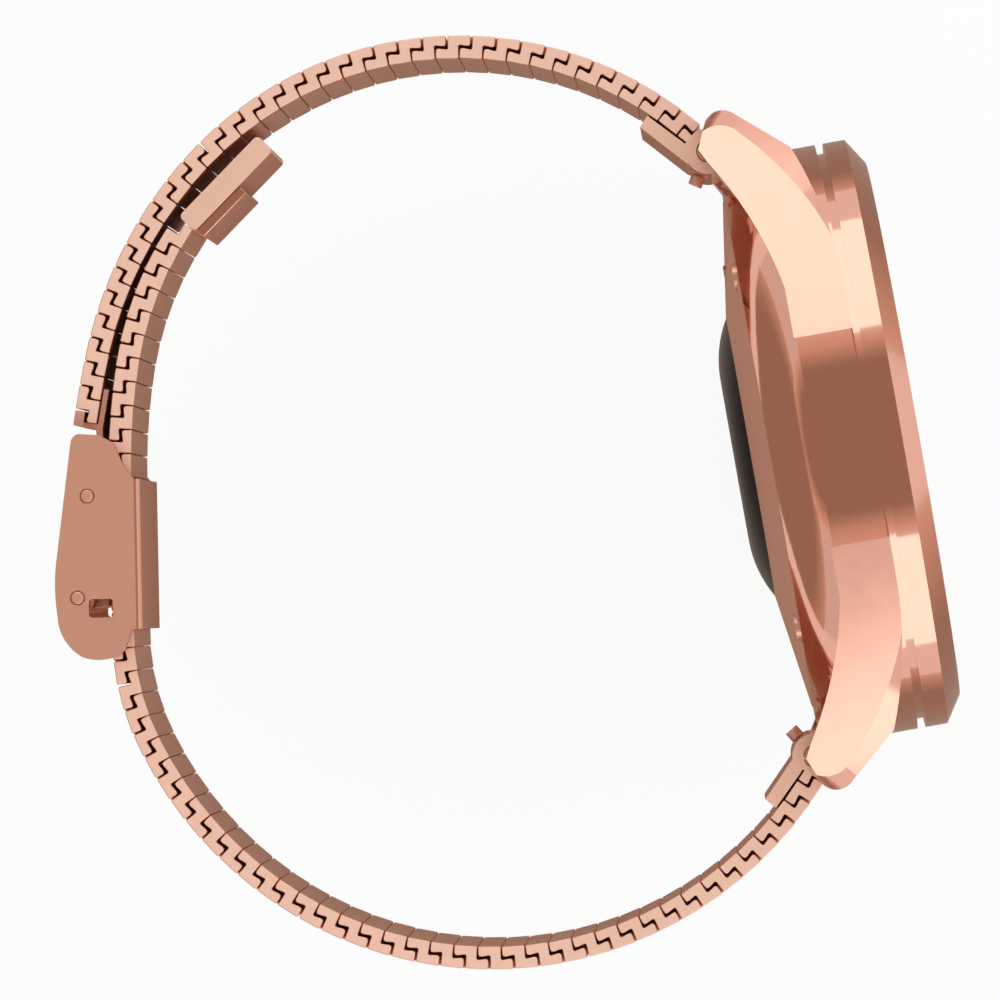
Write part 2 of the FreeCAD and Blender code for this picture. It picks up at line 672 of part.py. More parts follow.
class Path:
    """The middle line of one half of the band: straight runs and arcs, each tangent to the last."""

    def __init__(self, x, y, heading, runs):
        self.runs = []
        here = Vector(x, y, 0)
        for length, turn in runs:
            self.runs.append((here, heading, length, turn))
            here, heading = self.step(here, heading, length, turn, length)
        self.length = sum(run[2] for run in self.runs)

    @staticmethod
    def step(here, heading, length, turn, along):
        """The place and heading some way along one run."""
        if turn == 0:
            way = Vector(math.cos(heading), math.sin(heading), 0)
            return here + way * along, heading
        radius = length / turn
        after = heading + turn * along / length
        shift = Vector(math.sin(after) - math.sin(heading), math.cos(heading) - math.cos(after), 0)
        return here + shift * radius, after

    def at(self, distance):
        """The placement at a distance from the start: local x runs on along the band."""
        left = distance
        for here, heading, length, turn in self.runs:
            if left <= length or (here, heading, length, turn) == self.runs[-1]:
                spot, way = self.step(here, heading, length, turn, left)
                return FreeCAD.Placement(spot, FreeCAD.Rotation(Vector(0, 0, 1), math.degrees(way)))
            left -= length
        return None


def arc_run(radius, degrees):
    """One arc of a path: its length and its turn, anticlockwise for positive degrees."""
    return (abs(radius * math.radians(degrees)), math.radians(degrees))


bar_x = bar_drop.value
bar_y = bar_reach.value
start_x = bar_x - 0.8
start_y = bar_y + 1.35
short_path = Path(start_x, start_y, math.radians(129.1), [
    arc_run(25.0, 91.0), arc_run(29.3, 28.0), arc_run(80.0, 4.5)])
clasp_straight = clasp_length.value + 0.9
long_path = Path(start_x + 0.47, -start_y, math.radians(228.83), [
    arc_run(26.32, -93.6), arc_run(27.35, -29.17), arc_run(17.6, -25.0), (clasp_straight, 0.0),
    arc_run(43.6, -10.0), arc_run(24.1, -30.0)])
clasp_middle = sum(run[2] for run in long_path.runs[:3]) + clasp_straight / 2
SHORT_ROWS = (11, 11, 12)
LONG_ROWS = (12, 12, 12, 19)


def link_shape(outward):
    """One row of links: an outer and an inner plate, half a row apart, joined through the middle."""
    pitch = link_pitch.value
    half = band_thickness.value / 2
    slit = link_slit.value / 2
    core = link_core_gap.value / 2
    bevel = link_bevel.value
    outline = [
        (slit, half), (pitch - slit - bevel, half), (pitch - slit, half - bevel), (pitch - slit, -core),
        (pitch * 1.5 - slit, -core), (pitch * 1.5 - slit, -half), (pitch * 0.5 + slit + bevel, -half),
        (pitch * 0.5 + slit, -half + bevel), (pitch * 0.5 + slit, core), (slit, core)]
    width = band_width.value
    points = [Vector(x - pitch * 0.75, y * outward, -width / 2) for x, y in outline]
    face = Part.Face(Part.makePolygon(points + points[:1]))
    return face.extrude(Vector(0, 0, width))


def mesh_section(node, path, first_row, rows, outward):
    """A run of nested links, each laid along the path."""
    link = link_shape(outward)
    solids = []
    for row in range(first_row, first_row + rows):
        solid = link.copy()
        solid.Placement = path.at((row + 0.75) * link_pitch.value)
        solids.append(solid)
    drawn_by_code(node, Part.makeCompound(solids))


def make_mesh():
    """Both halves of the band, section by section."""
    first = 0
    for number, rows in enumerate(SHORT_ROWS, start=1):
        mesh_section(f"short_mesh_{number}", short_path, first, rows, -1)
        first += rows
    first = 0
    for number, rows in enumerate(LONG_ROWS, start=1):
        mesh_section(f"long_mesh_{number}", long_path, first, rows, 1)
        first += rows


# ---------------------------------------------------------------- lug end of the band

def make_end_link(name, path, direction):
    """Barrel round the spring bar, with a clamp plate that runs under the mesh."""
    half = band_width.value / 2
    centre = Vector(bar_x, bar_y * direction, 0)
    inward = direction * 1.0
    low = band_thickness.value / 2 + 0.11
    high = low + clamp_thickness.value
    near = path.at(0.35)
    far = path.at(clamp_length.value)
    corners = [near.multVec(Vector(0, low * inward, -half)), far.multVec(Vector(0, low * inward, -half)),
               far.multVec(Vector(0, high * inward, -half)), near.multVec(Vector(-1.4, high * inward, -half)),
               Vector(bar_x, bar_y * direction, -half)]
    plate = Part.Face(Part.makePolygon(corners + corners[:1])).extrude(Vector(0, 0, 2 * half))
    barrel = Part.makeCylinder(barrel_radius.value, 2 * half, centre - Vector(0, 0, half))
    bore = Part.makeCylinder(bar_radius.value + fit_gap.value, 2 * half + 2, centre - Vector(0, 0, half + 1))
    slot = Part.makeBox(3.0, knob_radius * 2 + 0.3, knob_travel + knob_radius * 2 + 0.3,
                        Vector(0, -knob_radius - 0.15, 0))
    slot.Placement = FreeCAD.Placement(
        centre + Vector(0, 0, knob_level - knob_travel - knob_radius - 0.15),
        FreeCAD.Rotation(Vector(0, 0, 1), knob_angle * direction)).multiply(slot.Placement)
    outer = -(band_thickness.value / 2 + 0.2) * inward
    seat = Part.makeBox(clamp_length.value, abs(low * inward - outer), 2 * half,
                        Vector(0, min(low * inward, outer), -half))
    seat.Placement = path.at(0).multiply(seat.Placement)
    shape = barrel.fuse(plate).cut(bore).cut(slot).cut(seat)
    drawn_by_code(f"{name}_end_link", shape.removeSplitter())


knob_radius = 0.5
knob_level = 5.2
knob_travel = 1.7
knob_angle = -122.5


def make_spring_bar(name, direction):
    """The tube with its fixed tip, open at the other end for the tip that draws back."""
    half = band_width.value / 2 - 0.1
    centre = Vector(bar_x, bar_y * direction, 0)
    tube = Part.makeCylinder(bar_radius.value, 2 * half, centre - Vector(0, 0, half))
    reach = lug_gap.value / 2 + bar_bite.value
    tip = Part.makeCylinder(tip_radius.value, reach - half, centre - Vector(0, 0, reach))
    bore_start = knob_level - knob_travel - 1.2
    bore = Part.makeCylinder(tip_radius.value + fit_gap.value, half, centre + Vector(0, 0, bore_start))
    slot = Part.makeBox(2.0, knob_radius * 2 + 0.2, knob_travel + knob_radius * 2 + 0.2,
                        Vector(0, -knob_radius - 0.1, 0))
    slot.Placement = FreeCAD.Placement(
        centre + Vector(0, 0, knob_level - knob_travel - knob_radius - 0.1),
        FreeCAD.Rotation(Vector(0, 0, 1), knob_angle * direction)).multiply(slot.Placement)
    shape = tube.fuse(tip).cut(bore).cut(slot)
    drawn_by_code(f"{name}_spring_bar", shape.removeSplitter())


def make_quick_release(name, direction):
    """The tip that draws back, with the little knob that the thumbnail pushes."""
    centre = Vector(bar_x, bar_y * direction, 0)
    reach = lug_gap.value / 2 + bar_bite.value
    tip_foot = centre + Vector(0, 0, knob_level - 1.0)
    tip = Part.makeCylinder(tip_radius.value, reach - knob_level + 1.0, tip_foot)
    angle = math.radians(knob_angle * direction)
    out = Vector(math.cos(angle), math.sin(angle), 0)
    stalk = Part.makeCylinder(knob_radius * 0.7, 2.0, centre + Vector(0, 0, knob_level), out)
    head = Part.makeCylinder(knob_radius, 0.75, centre + Vector(0, 0, knob_level) + out * 1.7, out)
    drawn_by_code(f"{name}_quick_release", tip.fuse(stalk).fuse(head).removeSplitter())


# ---------------------------------------------------------------- clasp, in its own frame

clasp_place = long_path.at(clasp_middle)
half_length = clasp_length / 2
cheek_inside = band_width / 2 + side_play
cheek_outside = cheek_inside + cheek_thickness
plate_face = -(band_thickness / 2) - clasp_play
plate_back = plate_face - clasp_sheet
ring_width = 0.12
ring_depth = 0.12
hook_spot = (4.1, 2.28)
lid_spot = (-3.0, 3.08)


def cheek_outline():
    """One cheek seen from the side: tall at the lid's axle, with a nose over the hook."""
    return [
        corner(half_length, plate_face), corner(half_length + 0.7, plate_back + 0.95),
        corner(half_length + 1.45, plate_back + 1.35), corner(half_length + 2.5, plate_back + 1.75),
        corner(half_length + 3.1, plate_back + 2.8), corner(half_length + 3.2, plate_back + 4.2, 0.75),
        corner(half_length + 2.7, plate_back + 4.75), corner(0.0, plate_back + 5.85, 14.0),
        corner(-half_length + 1.0, plate_back + 5.9, 3.4), corner(-half_length - 1.9, plate_back + 4.2, 3.2),
        corner(-half_length - 1.9, plate_back + 1.9, 1.3), corner(-half_length - 1.1, plate_back + 1.1),
        corner(-half_length, plate_back + 0.75), corner(-half_length, plate_face)]


def make_clasp():
    """Folded channel round the long half, its two pins, the lid and the cam that grips the mesh."""
    channel = new_body("clasp_body")
    window = rounded_rectangle(-4.4, -3.1, 0.6, 2.3, 0.25)
    holes = [hook_spot + (pin_radius + fit_gap,), lid_spot + (pin_radius + fit_gap,)]
    pad(channel, "near_cheek", "XY_Plane", cheek_inside, cheek_thickness, [cheek_outline()])
    sheet_end = cheek_inside + cheek_thickness
    fold = clasp_sheet
    pad(channel, "inner_plate", "YZ_Plane", -half_length, clasp_length, [[
        corner(plate_back, fold - sheet_end, -fold), corner(plate_face, -sheet_end),
        corner(plate_face, sheet_end, -fold), corner(plate_back, sheet_end - fold)]])
    pad(channel, "far_cheek", "XY_Plane", -sheet_end, cheek_thickness, [cheek_outline()])
    tail = [corner(-half_length + 0.35, plate_back + 5.55), corner(-half_length - 0.6, plate_back + 5.15),
            corner(-half_length - 1.6, plate_back + 4.15), corner(-half_length - 1.15, plate_back + 3.75),
            corner(-half_length - 0.2, plate_back + 4.65), corner(-half_length + 0.5, plate_back + 4.95)]
    pad(channel, "tail_plate", "XY_Plane", -sheet_end + 0.1, sheet_end * 2 - 0.2, [tail])
    pocket(channel, "pin_holes", "XY_Plane", -sheet_end - 1, sheet_end * 2 + 2, circles=holes, reverse=True)
    pocket(channel, "window", "XY_Plane", -sheet_end - 1, sheet_end * 2 + 2, [window], reverse=True)
    rings = [spot + (pin_radius + ring_width,) for spot in (hook_spot, lid_spot)]
    pocket(channel, "near_pin_rings", "XY_Plane", sheet_end - ring_depth, 1, circles=rings, reverse=True)
    pocket(channel, "far_pin_rings", "XY_Plane", -sheet_end + ring_depth, 1, circles=rings)
    channel.Placement = clasp_place
    finished("clasp_body", channel)

    for node, spot in (("hook_pin", hook_spot), ("lid_pin", lid_spot)):
        pin = new_body(node)
        pad(pin, f"{node}_bar", "XY_Plane", -sheet_end, sheet_end * 2, circles=[spot + (pin_radius,)])
        pin.Placement = clasp_place
        finished(node, pin)

    lid_top = plate_back + 5.85
    lid = new_body("clasp_lid")
    lid_half = cheek_inside - 0.1
    outline = [corner(6.4, lid_top - 1.05), corner(0.0, lid_top - 0.12, 14.0),
               corner(-3.0, lid_top - 0.05, 1.6), corner(-4.3, lid_top - 0.85),
               corner(-3.6, lid_top - 1.5), corner(-1.6, lid_top - 1.4),
               corner(0.0, lid_top - 0.12 - lid_thickness), corner(6.3, lid_top - 1.05 - lid_thickness)]
    pad(lid, "lid_plate", "XY_Plane", -lid_half, lid_half * 2, [outline])
    pad(lid, "lid_knuckle", "XY_Plane", -lid_half, lid_half * 2, circles=[lid_spot + (1.15,)])
    pocket(lid, "lid_bore", "XY_Plane", -lid_half - 1, lid_half * 2 + 2,
           circles=[lid_spot + (pin_radius + fit_gap,)], reverse=True)
    lid.Placement = clasp_place
    finished("clasp_lid", lid)

    cam = new_body("lock_cam")
    x, y = lid_spot
    cam_half = lid_half - 1.5
    pad(cam, "cam_blade", "XY_Plane", -cam_half, cam_half * 2, [[
        corner(x - 0.75, y - 0.9), corner(x - 0.6, y - 2.05), corner(x + 0.1, y - 2.12),
        corner(x + 0.65, y - 1.6), corner(x + 0.75, y - 0.9)]])
    seat = lid_spot + (1.18,)
    pocket(cam, "cam_seat", "XY_Plane", -cam_half - 1, cam_half * 2 + 2, circles=[seat], reverse=True)
    cam.Placement = clasp_place
    finished("lock_cam", cam)


def make_tongue():
    """The hook that ends the short half: a bar and tab round its last row, and a sheet to the hook pin."""
    half = band_width.value / 2
    sheet = tongue_thickness.value
    slit = link_slit.value
    band_end = (sum(SHORT_ROWS) + 0.5) * link_pitch.value - slit / 2
    outside = -band_thickness.value / 2
    inside = band_thickness.value / 2 + 0.08
    last_slit = slit - link_pitch.value / 2
    middle = -link_core_gap.value / 2
    pin = Vector(hook_spot[0], hook_spot[1], 0)
    to_clasp = clasp_place.inverse()

    def near_band(along, across):
        """A point beside the end of the short half, in the clasp's frame."""
        return to_clasp.multVec(short_path.at(band_end + along).multVec(Vector(0, across, 0)))

    def slab(points, half_width):
        """A prism across the band from an outline."""
        lowered = [spot - Vector(0, 0, half_width) for spot in points]
        return Part.Face(Part.makePolygon(lowered + lowered[:1])).extrude(Vector(0, 0, 2 * half_width))

    bar = slab([near_band(last_slit, middle), near_band(last_slit, outside), near_band(sheet, outside),
                near_band(sheet, middle)], half)
    level = pin.y - pin_radius.value - 0.36
    lip = 0.12
    hook = slab([
        near_band(-2.5, inside), near_band(0.04, inside), near_band(0.04, middle - lip),
        near_band(sheet, middle - lip),
        near_band(sheet + 0.05, inside - 0.1), Vector(pin.x + 1.6, level, 0), Vector(pin.x - 0.9, level, 0),
        Vector(pin.x - 1.0, level + lip, 0), Vector(pin.x - 1.45, level + lip, 0),
        Vector(pin.x - 1.45, level - sheet, 0), Vector(pin.x + 1.5, level - sheet, 0),
        near_band(0.3, inside + sheet), near_band(-2.5, inside + sheet)], half - 0.6)
    drawn_by_code("hook_tongue", bar.fuse(hook).removeSplitter(), clasp_place)


def make_end_stop():
    """The block that closes the long half, and the polished plate riveted to its inner side."""
    half = band_width.value / 2
    length = stop_length.value
    thickness = stop_thickness.value
    stop_start = (sum(LONG_ROWS) + 0.5) * link_pitch.value + 0.1
    place = long_path.at(stop_start + length / 2)
    inner_side = 0.25 - thickness
    block = Part.makeBox(length, thickness, 2 * half, Vector(-length / 2, inner_side, -half))
    block = block.makeFillet(0.35, [edge for edge in block.Edges if abs(edge.tangentAt(0).z) > 0.9])
    drawn_by_code("end_stop", block, place)
    sheet = stop_plate_thickness.value
    plate = Part.makeBox(stop_plate_length.value, sheet, 2 * half - 1,
                         Vector(-length / 2 + 0.2, inner_side - sheet, -half + 0.5))
    drawn_by_code("end_stop_plate", plate, place)


# ---------------------------------------------------------------- build and write

def build():
    """Make every piece in order."""
    make_mid_case()
    make_bezel()
    make_crystal()
    make_case_back()
    make_screws()
    make_contacts()
    make_sensor()
    make_dial()
    make_movement()
    make_hands()
    make_mesh()
    for name, path, direction in (("upper", short_path, 1), ("lower", long_path, -1)):
        make_end_link(name, path, direction)
        make_spring_bar(name, direction)
        make_quick_release(name, direction)
    make_clasp()
    make_tongue()
    make_end_stop()
    doc.recompute()


def check():
    """Stop before anything is written if an object failed or a piece is not sound."""
    failed = [thing.Name for thing in doc.Objects if {"Invalid", "Error"} & set(thing.State)]
    unsound = [node for node, piece in pieces.items() if piece.Shape.isNull() or not piece.Shape.isValid()]
    if failed or unsound:
        raise RuntimeError(f"failed objects {failed}, unsound pieces {unsound}")


def write():
    """Write one STEP file per piece."""
    os.makedirs("parts", exist_ok=True)
    for node, piece in pieces.items():
        piece.Shape.exportStep(os.path.join("parts", f"{node}.step"))
        box = piece.Shape.BoundBox
        print(f"{node:20s} solids {len(piece.Shape.Solids):3d}  volume {piece.Shape.Volume:9.2f}  "
              f"x {box.XMin:7.2f} {box.XMax:7.2f}  y {box.YMin:7.2f} {box.YMax:7.2f}  "
              f"z {box.ZMin:7.2f} {box.ZMax:7.2f}")


build()
check()
write()
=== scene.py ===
# %% [markdown]
# # A watch on a woven steel band
# This lesson dresses a finished watch model for a studio picture. The working model, with every
# joint and its real sizes, is loaded first and never changed. Blender adds what a plain solid
# can't show: the woven links, the polish, the brushed grain and the glass.
# Everything is in metres, and the watch lies on its side, so the camera looks straight down on it.

# %% Load the working model
import json
import math

import bmesh
import bpy
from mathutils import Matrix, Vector


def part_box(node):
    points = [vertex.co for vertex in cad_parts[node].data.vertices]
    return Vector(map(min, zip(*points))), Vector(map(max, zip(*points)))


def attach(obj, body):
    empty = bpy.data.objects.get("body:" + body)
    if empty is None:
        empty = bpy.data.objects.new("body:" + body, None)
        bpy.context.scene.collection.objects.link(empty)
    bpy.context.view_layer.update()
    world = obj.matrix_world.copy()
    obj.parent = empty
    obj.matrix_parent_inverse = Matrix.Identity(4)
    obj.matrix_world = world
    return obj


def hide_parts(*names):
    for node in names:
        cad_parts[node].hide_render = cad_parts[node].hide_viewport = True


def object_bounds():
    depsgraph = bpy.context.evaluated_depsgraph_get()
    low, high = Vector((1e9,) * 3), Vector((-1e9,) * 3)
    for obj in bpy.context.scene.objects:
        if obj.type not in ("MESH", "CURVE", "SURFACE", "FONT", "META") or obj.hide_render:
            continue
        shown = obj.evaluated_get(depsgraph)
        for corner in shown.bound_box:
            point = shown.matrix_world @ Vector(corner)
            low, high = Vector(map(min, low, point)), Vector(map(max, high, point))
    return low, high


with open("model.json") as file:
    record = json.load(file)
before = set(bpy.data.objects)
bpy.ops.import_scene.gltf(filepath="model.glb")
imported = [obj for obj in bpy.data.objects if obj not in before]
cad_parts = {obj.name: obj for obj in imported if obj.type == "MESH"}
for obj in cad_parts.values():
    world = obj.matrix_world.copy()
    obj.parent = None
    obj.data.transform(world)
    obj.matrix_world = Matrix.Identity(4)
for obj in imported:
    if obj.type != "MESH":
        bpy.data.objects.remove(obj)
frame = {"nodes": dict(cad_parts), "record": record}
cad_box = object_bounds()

MM = 0.001
nodes = frame["nodes"]
bodies = frame["record"]["behaviour"]["bodies"]
body_of_node = {node: body for body, members in bodies.items() for node in members}
slot_of_node = {part["node"]: part["material_slot"] for part in frame["record"]["subparts"]}

# %% [markdown]
# ## Camera
# The lens looks down the band's edge from a little over 0.7 m, so the near edges of the case and
# the clasp stand out over the far ones and a strip of the band's inside shows. A long lens with a
# shifted frame keeps the camera exactly upright, as on a copy stand: tilting it instead would make
# the round band look like an egg.

# %% Camera on its copy stand
CAMERA_HEIGHT = 728 * MM
CAMERA_FOOT = Vector((-1.85, -9.38, 0)) * MM
PICTURE_TURN = math.radians(-10.05)
FRAME_WIDTH = 70.922 * MM
FRAME_SHIFT = (-0.232, 0.095)
SENSOR = 36.0


def add_camera():
    """A camera looking straight down, turned in its own plane and shifted to frame the watch."""
    data = bpy.data.cameras.new("stand_camera")
    data.sensor_width = SENSOR
    data.lens = SENSOR * CAMERA_HEIGHT / FRAME_WIDTH
    data.shift_x, data.shift_y = FRAME_SHIFT
    data.clip_start = 0.05
    data.clip_end = 20
    camera = bpy.data.objects.new("stand_camera", data)
    camera.location = CAMERA_FOOT + Vector((0, 0, CAMERA_HEIGHT))
    camera.rotation_euler = (0, 0, PICTURE_TURN)
    bpy.context.scene.collection.objects.link(camera)
    bpy.context.scene.camera = camera
    return camera


camera = add_camera()
print("lens", round(camera.data.lens, 1), "mm")

# %% [markdown]
# ## Floor and light
# Polished metal has no colour of its own to speak of: it shows the room. So the room is plain and
# chosen with care. A pale table and white walls give the open tone, two broad softboxes give the
# bright bands on the flanks, and three dark cards give polished faces something to darken against:
# one round the lens, where the camera itself is dark in a real studio, one on the table under the
# watch, and one behind the clasp for the slope of the case back. The cards are seen in reflections
# only.

# %% Floor, world, softboxes and the dark cards
FLOOR_LEVEL = cad_box[0].z - 0.2 * MM
FLOOR_HALF = 3.0
FLOOR_PAINT = (0.93, 0.93, 0.93, 1)
FLOOR_WHITE = 0.92
WORLD_FILL = 0.85
WATCH_MIDDLE = Vector((-0.015, 0, 0))
SOFTBOX_GLOW = 1.75
SOFTBOX_SIZE = (1.0, 0.95)
SOFTBOX_X, SOFTBOX_Y, SOFTBOX_Z = 0.25, 0.846, 0.386
CARD_GLOW = 0.38
CARD_TONE = (1.0, 0.78, 0.64, 1)
CARD_FADE = 0.65
CARD_LIFT = 0.1 * MM
UPRIGHT = math.radians(90)


def seen_directly(tree):
    """1 for what the lens, a reflection or the glass looks at, and 0 for plain light."""
    path = tree.nodes.new("ShaderNodeLightPath")
    mask = path.outputs["Is Camera Ray"]
    for name in ("Is Glossy Ray", "Is Transmission Ray"):
        either = tree.nodes.new("ShaderNodeMath")
        either.operation = "MAXIMUM"
        tree.links.new(mask, either.inputs[0])
        tree.links.new(path.outputs[name], either.inputs[1])
        mask = either.outputs[0]
    return mask


def add_floor():
    """A broad pale table top: mostly plain white to the eye, with the watch's shadow kept."""
    mesh = bpy.data.meshes.new("table_top")
    corners = [(-FLOOR_HALF, -FLOOR_HALF), (FLOOR_HALF, -FLOOR_HALF), (FLOOR_HALF, FLOOR_HALF),
               (-FLOOR_HALF, FLOOR_HALF)]
    mesh.from_pydata([(x, y, FLOOR_LEVEL) for x, y in corners], [], [(0, 1, 2, 3)])
    floor = bpy.data.objects.new("table_top", mesh)
    bpy.context.scene.collection.objects.link(floor)
    material = bpy.data.materials.new("pale_table")
    material.use_nodes = True
    tree = material.node_tree
    tree.nodes.clear()
    output = tree.nodes.new("ShaderNodeOutputMaterial")
    paint = tree.nodes.new("ShaderNodeBsdfDiffuse")
    paint.inputs["Color"].default_value = FLOOR_PAINT
    glow = tree.nodes.new("ShaderNodeEmission")
    glow.inputs["Strength"].default_value = 1.0
    share = tree.nodes.new("ShaderNodeMath")
    share.operation = "MULTIPLY"
    share.inputs[1].default_value = FLOOR_WHITE
    mix = tree.nodes.new("ShaderNodeMixShader")
    tree.links.new(seen_directly(tree), share.inputs[0])
    tree.links.new(share.outputs[0], mix.inputs["Fac"])
    tree.links.new(paint.outputs[0], mix.inputs[1])
    tree.links.new(glow.outputs[0], mix.inputs[2])
    tree.links.new(mix.outputs[0], output.inputs["Surface"])
    mesh.materials.append(material)


def add_world():
    """White for the lens and for reflections, and a softer level as fill light."""
    world = bpy.data.worlds.new("studio")
    bpy.context.scene.world = world
    world.use_nodes = True
    tree = world.node_tree
    tree.nodes.clear()
    output = tree.nodes.new("ShaderNodeOutputWorld")
    seen = tree.nodes.new("ShaderNodeBackground")
    seen.inputs["Strength"].default_value = 1.0
    fill = tree.nodes.new("ShaderNodeBackground")
    fill.inputs["Strength"].default_value = WORLD_FILL
    mix = tree.nodes.new("ShaderNodeMixShader")
    tree.links.new(seen_directly(tree), mix.inputs["Fac"])
    tree.links.new(fill.outputs[0], mix.inputs[1])
    tree.links.new(seen.outputs[0], mix.inputs[2])
    tree.links.new(mix.outputs[0], output.inputs["Surface"])


def add_softbox(name, place):
    """A flat lamp facing the watch, at a set brightness whatever its size."""
    data = bpy.data.lights.new(name, "AREA")
    data.shape = "RECTANGLE"
    data.size, data.size_y = SOFTBOX_SIZE
    data.energy = 2.0 * SOFTBOX_GLOW * SOFTBOX_SIZE[0] * SOFTBOX_SIZE[1]
    lamp = bpy.data.objects.new(name, data)
    lamp.location = place
    lamp.rotation_euler = (WATCH_MIDDLE - Vector(place)).to_track_quat("-Z", "Y").to_euler()
    lamp.visible_camera = False
    bpy.context.scene.collection.objects.link(lamp)


def add_card(name, radius, place, lean, rim_glow):
    """A dark round card, seen in reflections only, that pales toward its rim."""
    mesh = bpy.data.meshes.new(name)
    form = bmesh.new()
    bmesh.ops.create_circle(form, cap_ends=True, radius=radius, segments=64)
    form.to_mesh(mesh)
    form.free()
    card = bpy.data.objects.new(name, mesh)
    card.location = place
    card.rotation_euler = (0, lean, 0)
    card.visible_camera = False
    card.visible_shadow = False
    card.visible_diffuse = False
    card.visible_transmission = False
    bpy.context.scene.collection.objects.link(card)
    material = bpy.data.materials.new(name)
    material.use_nodes = True
    tree = material.node_tree
    tree.nodes.clear()
    output = tree.nodes.new("ShaderNodeOutputMaterial")
    spot = tree.nodes.new("ShaderNodeTexCoord")
    reach = tree.nodes.new("ShaderNodeVectorMath")
    reach.operation = "LENGTH"
    fade = tree.nodes.new("ShaderNodeMapRange")
    fade.inputs["From Min"].default_value = radius * CARD_FADE
    fade.inputs["From Max"].default_value = radius
    fade.inputs["To Min"].default_value = CARD_GLOW
    fade.inputs["To Max"].default_value = rim_glow
    glow = tree.nodes.new("ShaderNodeEmission")
    glow.inputs["Color"].default_value = CARD_TONE
    tree.links.new(spot.outputs["Object"], reach.inputs[0])
    tree.links.new(reach.outputs["Value"], fade.inputs["Value"])
    tree.links.new(fade.outputs[0], glow.inputs["Strength"])
    tree.links.new(glow.outputs[0], output.inputs["Surface"])
    mesh.materials.append(material)


add_floor()
add_world()
add_softbox("softbox_noon", (SOFTBOX_X, SOFTBOX_Y, SOFTBOX_Z))
add_softbox("softbox_six", (SOFTBOX_X, -SOFTBOX_Y, SOFTBOX_Z))
add_card("lens_card", radius=0.70, place=(-0.015, 0, 0.86), lean=0.0, rim_glow=0.9)
add_card("table_card", radius=0.11, place=(-0.02, 0, FLOOR_LEVEL + CARD_LIFT), lean=0.0,
         rim_glow=0.8)
add_card("wall_card", radius=0.85, place=(-0.6, 0, 0.32), lean=UPRIGHT, rim_glow=0.7)
bpy.context.scene.view_settings.view_transform = "Standard"
print("floor at", round(FLOOR_LEVEL / MM, 2), "mm")

# %% [markdown]
# ## Building blocks for the finishes
# Several metals share the same small effects: a fine grain left by the brush, slow clouds in the
# plating, worn edges, and painted shade that darkens hollow corners. Each is one node group, built
# once and placed in every material that needs it with its own values, so a change in one place
# reaches all of them.

# %% Helpers for colours, groups and nodes
def linear(red, green, blue):
    """A colour picked on screen (11 to 255) as the linear numbers that shaders take."""
    return tuple(((c / 255 + 0.055) / 1.055) ** 2.4 for c in (red, green, blue)) + (1,)


def new_group(name, inputs, outputs):
    """An empty shader group with named sockets: (name, kind, default)."""
    group = bpy.data.node_groups.new(name, "ShaderNodeTree")
    for label, kind, value in inputs:
        socket = group.interface.new_socket(name=label, in_out="INPUT",
                                            socket_type=f"NodeSocket{kind}")
        socket.default_value = value
    for label, kind in outputs:
        group.interface.new_socket(name=label, in_out="OUTPUT", socket_type=f"NodeSocket{kind}")
    entry = group.nodes.new("NodeGroupInput")
    leave = group.nodes.new("NodeGroupOutput")
    return group, entry, leave


def add_node(tree, kind, **settings):
    """A node with its plain settings and its input values by name."""
    node = tree.nodes.new(kind)
    for key, value in settings.pop("values", {}).items():
        node.inputs[key].default_value = value
    for key, value in settings.items():
        setattr(node, key, value)
    return node


print("rose gold", [round(c, 3) for c in linear(230, 170, 150)])

# %% Slow clouds in the plating
def build_plating_clouds():
    """Colour that drifts a little over the piece, as plating and handling leave it."""
    group, entry, leave = new_group(
        "plating_clouds",
        [("Color", "Color", (0.8, 0.5, 0.4, 1)), ("Scale", "Float", 90.0),
         ("Drift", "Float", 0.06)],
        [("Color", "Color"), ("Mask", "Float")])
    place = add_node(group, "ShaderNodeTexCoord")
    noise = add_node(group, "ShaderNodeTexNoise", values={"Detail": 3.0, "Roughness": 0.55})
    centre = add_node(group, "ShaderNodeMath", operation="SUBTRACT")
    centre.inputs[1].default_value = 0.5
    scaled = add_node(group, "ShaderNodeMath", operation="MULTIPLY")
    level = add_node(group, "ShaderNodeMath", operation="ADD")
    level.inputs[1].default_value = 1.0
    tint = add_node(group, "ShaderNodeHueSaturation")
    link = group.links.new
    link(place.outputs["Object"], noise.inputs["Vector"])
    link(entry.outputs["Scale"], noise.inputs["Scale"])
    link(noise.outputs["Fac"], centre.inputs[0])
    link(centre.outputs[0], scaled.inputs[0])
    link(entry.outputs["Drift"], scaled.inputs[1])
    link(scaled.outputs[0], level.inputs[0])
    link(level.outputs[0], tint.inputs["Value"])
    link(entry.outputs["Color"], tint.inputs["Color"])
    link(tint.outputs["Color"], leave.inputs["Color"])
    link(noise.outputs["Fac"], leave.inputs["Mask"])
    return group


plating_clouds = build_plating_clouds()
print("group", plating_clouds.name)

# %% Fine grain left by the brush
def build_brush_grain():
    """Streaks drawn out along one axis: a height for bump and a mask for roughness."""
    group, entry, leave = new_group(
        "brush_grain",
        [("Stretch", "Vector", (4000.0, 120.0, 4000.0))],
        [("Height", "Float"), ("Mask", "Float")])
    place = add_node(group, "ShaderNodeTexCoord")
    stretch = add_node(group, "ShaderNodeVectorMath", operation="MULTIPLY")
    noise = add_node(group, "ShaderNodeTexNoise",
                     values={"Scale": 1.0, "Detail": 2.0, "Roughness": 0.6})
    link = group.links.new
    link(place.outputs["Object"], stretch.inputs[0])
    link(entry.outputs["Stretch"], stretch.inputs[1])
    link(stretch.outputs[0], noise.inputs["Vector"])
    link(noise.outputs["Fac"], leave.inputs["Height"])
    link(noise.outputs["Fac"], leave.inputs["Mask"])
    return group


brush_grain = build_brush_grain()
print("group", brush_grain.name)
